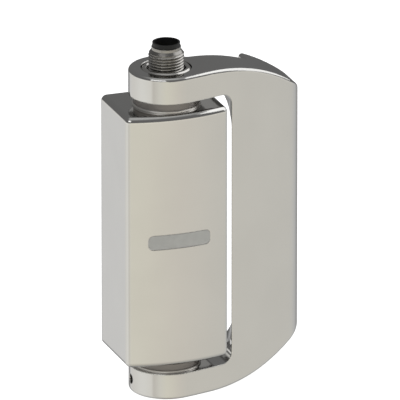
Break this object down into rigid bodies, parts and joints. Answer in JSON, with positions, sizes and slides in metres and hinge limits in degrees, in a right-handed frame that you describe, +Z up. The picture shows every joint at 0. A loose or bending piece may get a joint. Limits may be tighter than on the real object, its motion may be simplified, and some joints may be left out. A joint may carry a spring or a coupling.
{
  "type": "safety hinge switch",
  "caption": "Safety hinge switch: upright box-shaped switch body with a bowed front, a C-shaped arm that turns on a hidden upright pivot, and a round threaded plug on top.",
  "frame": {"origin": "centre of the four mounting threads in the switch body's rear face, on that face", "axes": "+Z up along the pivot axis towards the plug, +X from the pivot towards the arm's web and leg, +Y backwards into the wall or frame that the body is screwed to"},
  "size_m": [0.0675, 0.0291, 0.1228],
  "materials": {
    "polished_steel": "polished",
    "turned_steel": "fine turned",
    "collar_steel": "dark, fine turned",
    "plain_steel": "plain",
    "plug_steel": "fine turned",
    "nut_brass": "plain",
    "contact_gold": "plated",
    "seal_rubber": "matte",
    "bearing_polymer": "matte",
    "insert_black": "matte",
    "window_smoke": "clear smoke tint",
    "lamp_clear": "clear",
    "board_green": "solder mask",
    "chip_black": "moulded",
    "socket_cream": "moulded",
    "ribbon_grey": "flat cable",
    "magnet_grey": "plated"
  },
  "bodies": {
    "switch_body": {"switch_housing": "polished_steel", "rear_cover": "plain_steel", "cover_gasket": "seal_rubber", "cover_screws": "plain_steel", "status_window": "window_smoke", "status_lamps": "lamp_clear", "main_board": "board_green", "board_screws": "plain_steel", "logic_chips": "chip_black", "cable_socket": "socket_cream", "ribbon_cable": "ribbon_grey", "sensor_board": "board_green", "angle_sensors": "chip_black", "pivot_sleeve": "turned_steel", "sleeve_seal": "seal_rubber", "sleeve_nut": "nut_brass", "upper_collar": "collar_steel", "connector_shell": "plug_steel", "connector_seal": "seal_rubber", "connector_insert": "insert_black", "contact_pins": "contact_gold", "connector_board": "board_green", "lower_bush": "bearing_polymer"},
    "arm": {"hinge_arm": "polished_steel", "upper_bush": "bearing_polymer", "upper_seal": "seal_rubber", "lower_collar": "collar_steel", "pivot_pin": "turned_steel", "pivot_seal": "seal_rubber", "actuator_magnet": "magnet_grey", "pin_set_screw": "plain_steel"}
  },
  "joints": [
    {"name": "door_hinge", "type": "hinge", "parent": "switch_body", "child": "arm", "pos_m": [0, -0.0152, 0], "axis": [0, 0, -1], "range_deg": [0, 180]}
  ]
}
